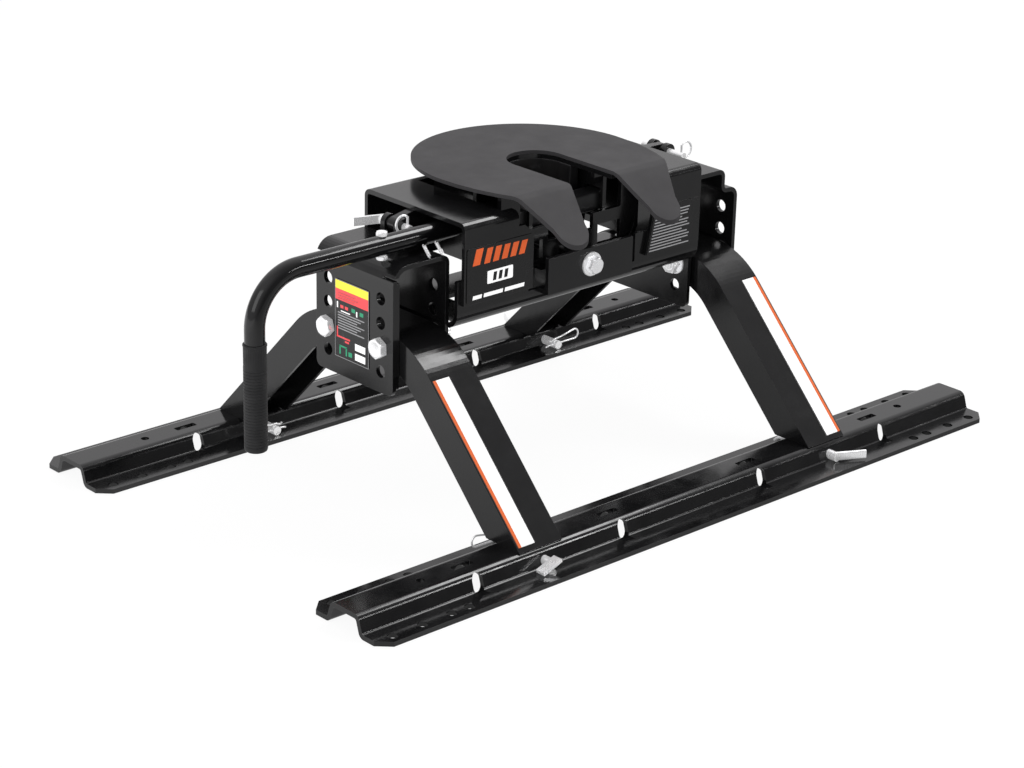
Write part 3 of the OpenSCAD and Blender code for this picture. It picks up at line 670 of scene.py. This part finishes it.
# ---- return springs ----------------------------------------------------------
def return_springs():
    """Two small coils side by side, rising toward the front, with short end tails."""
    turns, steps = 9, 14
    coil_start, coil_length, coil_radius = 1.4, 16.0, 1.75
    lean = math.radians(-44)
    axis = Vector((0, -math.sin(lean), math.cos(lean)))
    u, v, _ = axes_around(axis)
    springs = Shape()
    for x in (-246, -226):
        foot = Vector((x, -74.4, 334.8))
        coil = []
        for k in range(turns * steps + 1):
            height = coil_start + coil_length * k / (turns * steps)
            coil.append(circle(foot + axis * height, u, v, coil_radius, 2 * math.pi * k / steps))
        # end tails: (along the axis, off the axis)
        lower, upper = ([foot + axis * along + u * off for along, off in tail] for tail in (
            ((-0.6, 0.2), (0.3, 1.0)), ((18.4, 1.0), (19.0, 0.2))))
        springs.sweep(smooth_path(lower + coil + upper, steps=2), radius=0.62, sides=8)
    replace("return_springs", "coil_springs", springs)


# ---- hairpin clips -----------------------------------------------------------
# wire centre line: (outboard from the leg centre, up from CLIP_Z)
CLIP_STRAIGHT = [(-19.2, -1.3), (-16, -0.5), (-12, 0), (-4, 0), (6, 0), (16, 0), (26, 0), (33, 0)]
CLIP_SPRUNG = [
    (30, 13.2), (22, 11.6), (14, 10.0), (8, 8.8), (4, 8.5), (0, 8.35), (-3.5, 7.9),
    (-6.4, 6.6), (-8.6, 5.9), (-10.8, 6.3), (-13.2, 7.6)]
CLIP_EYE_X, CLIP_EYE_RADIUS = 38, 7.3
CLIP_EYE_STEPS, CLIP_EYE_SWEEP = 12, 191


def hairpin(foot, side, end):
    """side is the sign of X, end the sign of Y."""
    eye = []
    for k in range(CLIP_EYE_STEPS + 1):
        angle = math.radians(-90 + CLIP_EYE_SWEEP * k / CLIP_EYE_STEPS)
        eye.append((CLIP_EYE_X + CLIP_EYE_RADIUS * math.cos(angle),
                    CLIP_EYE_RADIUS + CLIP_EYE_RADIUS * math.sin(angle)))
    wire = [(side * (LEG_X + x), end * (RAIL_Y - CLIP_INSET), CLIP_Z + z)
            for x, z in smooth_path(CLIP_STRAIGHT + eye + CLIP_SPRUNG, steps=3)]
    clip = Shape()
    clip.sweep(wire, radius=1.3, sides=12)
    replace("foot_clip_" + foot, "hairpin_" + foot, clip, body="clip_" + foot, angle=60)


# ---- rubber grip -------------------------------------------------------------
# (height, radius) from the bore round the lower lip, and from the ribs to the top
GRIP_LOWER = [
    (137.2, 12.75), (132.4, 12.0), (132.0, 10.8), (132.2, 12.6), (133.0, 13.6),
    (134.6, 14.25), (137, 14.5)]
GRIP_UPPER = [
    (246, 14.2), (250, 14.2), (258, 14.25), (267, 14.35), (267.6, 14.9), (269.2, 14.9),
    (269.9, 14.4), (270.0, 12.75)]
RIB = [(0, 14.5), (0.45, 13.95), (1.25, 13.95), (1.7, 14.5)]
RIB_PITCH = 3.9


def flute(angle, radius, height):
    """Fine upright flutes on the band above the ribs."""
    return radius + (0.13 * math.cos(30 * angle) if 245 < height < 268 else 0.0)


def grip():
    profile = list(GRIP_LOWER)
    z = 139.0
    while z < 238:
        profile += [(z + rise, radius) for rise, radius in RIB]
        z += RIB_PITCH
    profile += [(z + 0.6, 14.5), (z + 1.6, 14.25)] + GRIP_UPPER
    shape = Shape()
    shape.lathe((-491, HANDLE_Y, 0), (0, 0, 1), profile, sides=120, radius_at=flute)
    replace("handle_grip", "ribbed_grip", shape, slot="grip_rubber", body="handle", angle=50)


for side, sign in (("driver", -1), ("passenger", 1)):
    upright_bolts(side, sign)
long_bolt()
handle_bolt()
return_springs()
for side, side_sign in (("driver", -1), ("passenger", 1)):
    for end, end_sign in (("rear", -1), ("front", 1)):
        hairpin(side + "_" + end, side_sign, end_sign)
grip()

# ---- printed marks -----------------------------------------------------------
PLATE_Y = -98.4
SIDE_PLATE_X = -306.77
SIDE_PLATE_LEFT_Y, SIDE_PLATE_TOP_Z = 37, 292
FILM = 0.14      # thickness of a mark


def marks(name, outlines, material, origin, across, out):
    shape = Shape()
    for outline in outlines:
        shape.prism(outline, origin, across, out, depth=FILM)
    make(name, shape, material, "base", smooth=False)


def rear_marks(name, outlines, material, y=PLATE_Y):
    """Marks facing the rear; outlines are (x, z)."""
    marks(name, outlines, material, (0, y + 0.03, 0), across=(1, 0, 0), out=(0, -1, 0))


def side_marks(name, rectangles, material):
    """Marks on the driver's upright: (left, top, right, bottom) from the plate's top left."""
    outlines = []
    for left, top, right, bottom in rectangles:
        corners = ((left, top), (right, top), (right, bottom), (left, bottom))
        outlines.append([(SIDE_PLATE_LEFT_Y - a, SIDE_PLATE_TOP_Z - b) for a, b in corners])
    marks(name, outlines, material, (SIDE_PLATE_X, 0, 0), across=(0, 1, 0), out=(-1, 0, 0))


def bar(x, z, width, height, lean=0.0):
    return [(x, z), (x + width, z), (x + width + lean, z + height), (x + lean, z + height)]


def rounded(x0, y0, x1, y1, r, steps=6):
    outline = []
    for x, y, start in ((x1 - r, y1 - r, 0), (x0 + r, y1 - r, 90),
                        (x0 + r, y0 + r, 180), (x1 - r, y0 + r, 270)):
        for i in range(steps + 1):
            angle = math.radians(start + 90 * i / steps)
            outline.append((x + r * math.cos(angle), y + r * math.sin(angle)))
    return outline


def info_rows():
    """Thirteen ragged lines whose left ends follow the plate's slanted edge."""
    rows = []
    for k in range(13):
        z = 321 - 4.1 * k
        left = 114.5 + (z - 270) * 0.235
        short = 14 if k % 4 == 3 else 2 * (k % 3)
        rows.append(bar(left, z, 189 - left - short, 1.6))
    return rows


rear_marks("name_bars", [bar(-197, 319, 12, 21, 6)] + [
    bar(-178 + 14.6 * k, 318.5, 9.6, 19.5 - 0.5 * k, 5.5) for k in range(5)], INKS["orange"])
rear_marks("name_panel", [rounded(-172, 290.6, -129, 307.6, 1.6)], INKS["white"])
rear_marks("name_panel_marks", [bar(-163 + 9.5 * k, 293.4, 5.6, 11.2, 1.6) for k in range(3)],
           MATS["plate_black"], y=PLATE_Y - 0.16)
rear_marks("name_line", [bar(x, 274.4, width, 5.0, 1)
                         for x, width in ((-196.5, 15), (-178, 32), (-142.5, 33))], INKS["white"])
rear_marks("info_lines", info_rows(), INKS["grey"], y=-98.2)

# (object, ink, rectangles)
SIDE_MARKS = [
    ("setup_band_upper", "yellow", [(1.4, 1.6, 65.6, 12.4)]),
    ("setup_band_lower", "red", [(1.4, 12.6, 65.6, 27.0)]),
    ("setup_border", "grey", [
        (0.5, 0.6, 66.5, 1.2), (0.5, 102.8, 66.5, 103.5),
        (0.5, 1.2, 1.1, 102.8), (65.9, 1.2, 66.5, 102.8)]),
    ("setup_lines", "grey",
        [(6, 43 + 3.5 * k, 58 - 7 * (k % 3), 44.5 + 3.5 * k) for k in range(7)]
        + [(6, 17 + 3.4 * k, 40 + 6 * (k % 2), 18 + 3.4 * k) for k in range(3)]),
    ("setup_marks_white", "white", [
        (4, 30, 6.4, 38), (12, 40.2, 30, 41.6), (42, 34, 44.4, 41), (40, 77, 60, 86),
        (40, 90, 60, 99)]),
    ("setup_marks_red", "red", [
        (11, 33, 17, 37), (20, 33, 26, 37), (4, 63, 6.2, 76), (4, 75, 30, 77.2),
        (20, 79, 28, 81.5)]),
    ("setup_marks_green", "green", [
        (33, 32, 40, 37), (49, 33, 56, 38), (9, 88, 11.5, 99), (9, 87, 24, 89.2),
        (21.5, 88, 24, 99), (27, 92, 34, 98)]),
]
for name, ink, rectangles in SIDE_MARKS:
    side_marks(name, rectangles, INKS[ink])

# ---- rounded edges on the CAD nodes, as modifiers only -----------------------
# bevel width in mm: nodes
ROUNDED = {
    0.9: ("rail_rear", "rail_front", "leg_driver", "leg_passenger", "upright_driver",
          "upright_passenger", "crossmember", "lower_beam"),
    1.1: ("skid_plate",),
    0.8: ("head_frame", "throat_collar"),
    0.6: ("jaw_bar", "foot_pin_driver_rear", "foot_pin_driver_front",
          "foot_pin_passenger_rear", "foot_pin_passenger_front"),
    0.5: ("retaining_pin_driver", "retaining_pin_passenger"),
}


def soften(obj, width):
    weld = obj.modifiers.new("weld", "WELD")
    weld.merge_threshold = 2e-6
    plan = obj.modifiers.new("plan", "DECIMATE")
    plan.decimate_type = "DISSOLVE"
    plan.angle_limit = math.radians(0.4)
    bevel = obj.modifiers.new("round", "BEVEL")
    bevel.width = width * MM
    bevel.segments = 2
    bevel.limit_method = "ANGLE"
    bevel.angle_limit = math.radians(32)
    bevel.use_clamp_overlap = True
    bevel.harden_normals = False
    shade = obj.modifiers.new("shade", "WEIGHTED_NORMAL")
    shade.mode = "FACE_AREA"
    shade.weight = 50
    shade.keep_sharp = True


for width, names in ROUNDED.items():
    for name in names:
        soften(NODES[name], width)
